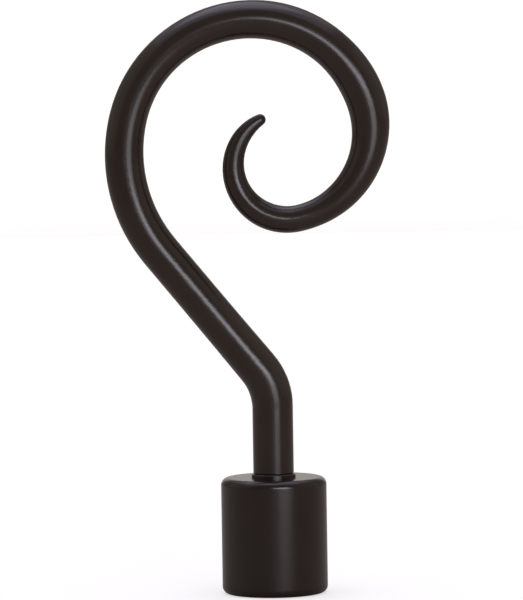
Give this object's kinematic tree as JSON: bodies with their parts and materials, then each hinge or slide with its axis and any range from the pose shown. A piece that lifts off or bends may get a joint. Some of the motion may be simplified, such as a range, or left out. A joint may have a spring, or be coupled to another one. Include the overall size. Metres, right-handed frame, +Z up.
{
  "type": "curtain finial",
  "caption": "Forged scroll finial for a metal curtain pole: a round bar drawn out into a tapering curl on a turned collar that slips over the pole's end.",
  "frame": {"origin": "centre of the collar's mouth, where the pole goes in", "axes": "+Z runs up the collar's axis from the pole towards the scroll; the scroll lies flat in the XZ plane, with its big loop out towards -X; the grub screw is at the back, +Y"},
  "size_m": [0.0701, 0.026, 0.1463],
  "materials": {
    "painted_bar": "satin, near-black bronze paint over forged steel",
    "painted_collar": "satin, near-black bronze paint over turned steel",
    "zinc_screw": "zinc-plated steel",
    "black_screw": "blackened steel"
  },
  "bodies": {
    "root": {"crook": "painted_bar", "collar": "painted_collar", "stem_screw": "zinc_screw", "grub_screw": "black_screw"}
  },
  "joints": []
}
